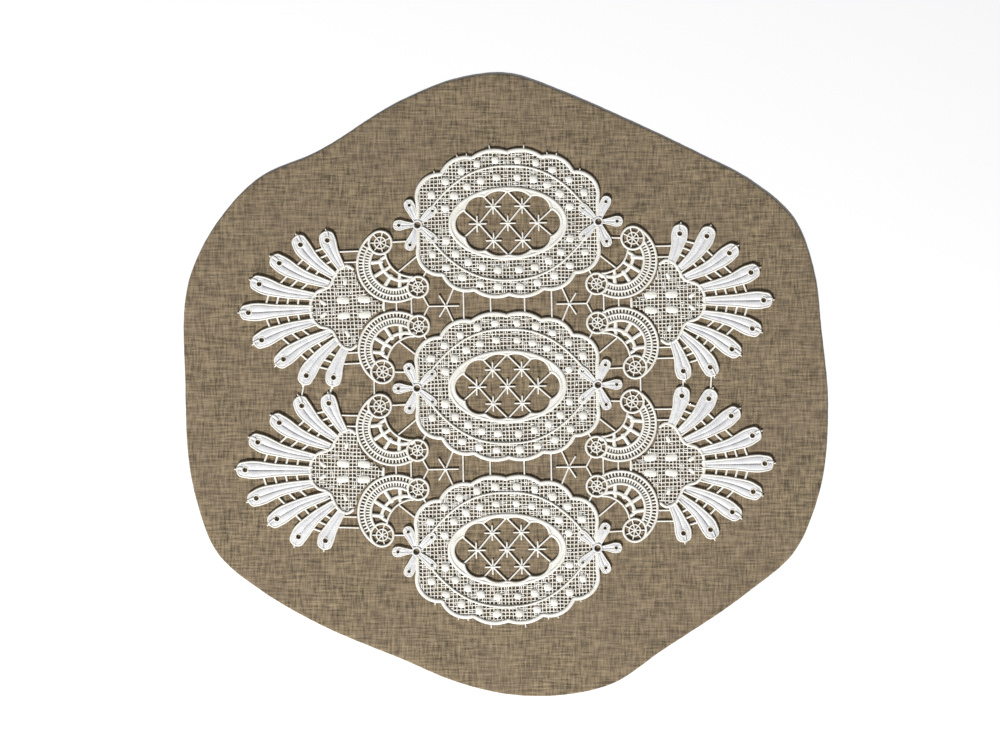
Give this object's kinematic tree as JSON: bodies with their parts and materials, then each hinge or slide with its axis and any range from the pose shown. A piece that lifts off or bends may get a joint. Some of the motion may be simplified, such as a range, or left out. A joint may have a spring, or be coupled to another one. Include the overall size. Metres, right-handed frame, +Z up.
{
  "type": "table runner",
  "caption": "Six-sided linen table mat with an openwork lace overlay of oval medallions and fan-shaped petal motifs tied by thin bars.",
  "frame": {"origin": "middle of the outline's box, on the underside of the linen, where it rests on a table", "axes": "+X along the long way of the mat, across the row of medallions; +Y along the row of medallions; +Z up from the table"},
  "size_m": [0.322, 0.311, 0.0025],
  "materials": {
    "linen": "plain-woven taupe linen, slubby, matt",
    "lace_cords": "white cotton satin-stitched cords, soft sheen",
    "lace_satin": "white cotton satin stitch, soft sheen",
    "lace_net": "white cotton thread net, matt",
    "lace_knots": "white cotton raised knots, matt",
    "lace_bars": "white cotton overcast bars, matt",
    "tacking_thread": "white cotton sewing thread"
  },
  "bodies": {
    "root": {"bottom_knots": "lace_knots", "bottom_left_floret": "lace_satin", "bottom_net": "lace_net", "bottom_oval_cord": "lace_cords", "bottom_right_floret": "lace_satin", "bottom_ring": "lace_cords", "bottom_scalloped_edge": "lace_cords", "bottom_star_bars": "lace_bars", "fan_tie_bars": "lace_bars", "linen_ground": "linen", "lower_left_ladder_bars": "lace_bars", "lower_left_palmette_net": "lace_net", "lower_left_palmette_outline": "lace_cords", "lower_left_petals": "lace_satin", "lower_left_scroll_fillings": "lace_net", "lower_left_scroll_lower": "lace_cords", "lower_left_scroll_upper": "lace_cords", "lower_right_ladder_bars": "lace_bars", "lower_right_palmette_net": "lace_net", "lower_right_palmette_outline": "lace_cords", "lower_right_petals": "lace_satin", "lower_right_scroll_fillings": "lace_net", "lower_right_scroll_lower": "lace_cords", "lower_right_scroll_upper": "lace_cords", "medallion_tie_bars": "lace_bars", "middle_knots": "lace_knots", "middle_left_floret": "lace_satin", "middle_net": "lace_net", "middle_oval_cord": "lace_cords", "middle_right_floret": "lace_satin", "middle_ring": "lace_cords", "middle_scalloped_edge": "lace_cords", "middle_star_bars": "lace_bars", "star_ties": "lace_bars", "tacking_stitches": "tacking_thread", "top_knots": "lace_knots", "top_left_floret": "lace_satin", "top_net": "lace_net", "top_oval_cord": "lace_cords", "top_right_floret": "lace_satin", "top_ring": "lace_cords", "top_scalloped_edge": "lace_cords", "top_star_bars": "lace_bars", "upper_left_ladder_bars": "lace_bars", "upper_left_palmette_net": "lace_net", "upper_left_palmette_outline": "lace_cords", "upper_left_petals": "lace_satin", "upper_left_scroll_fillings": "lace_net", "upper_left_scroll_lower": "lace_cords", "upper_left_scroll_upper": "lace_cords", "upper_right_ladder_bars": "lace_bars", "upper_right_palmette_net": "lace_net", "upper_right_palmette_outline": "lace_cords", "upper_right_petals": "lace_satin", "upper_right_scroll_fillings": "lace_net", "upper_right_scroll_lower": "lace_cords", "upper_right_scroll_upper": "lace_cords"}
  },
  "joints": []
}
